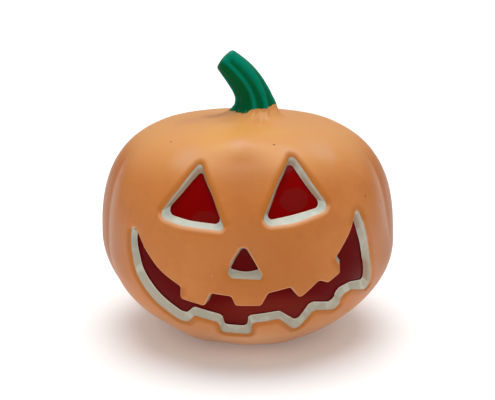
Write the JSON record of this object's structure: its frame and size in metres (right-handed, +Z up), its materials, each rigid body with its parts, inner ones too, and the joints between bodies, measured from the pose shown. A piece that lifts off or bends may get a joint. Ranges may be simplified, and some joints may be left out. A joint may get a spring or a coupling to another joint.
{
  "type": "carved pumpkin lantern",
  "caption": "Moulded plastic carved pumpkin lantern with a ribbed hollow body, a leaning stem and a dark red sheet behind the eyes, nose and toothed mouth.",
  "frame": {"origin": "middle of the flat base, on the surface it stands on", "axes": "+Z up through the crown, -Y out of the face, +X to the right as the face is looked at"},
  "size_m": [0.2298, 0.2272, 0.2191],
  "materials": {
    "shell": "white plastic with a sprayed satin orange body and a green stem",
    "liner": "glossy dark red"
  },
  "bodies": {
    "root": {"shell": "shell", "liner": "liner"}
  },
  "joints": []
}
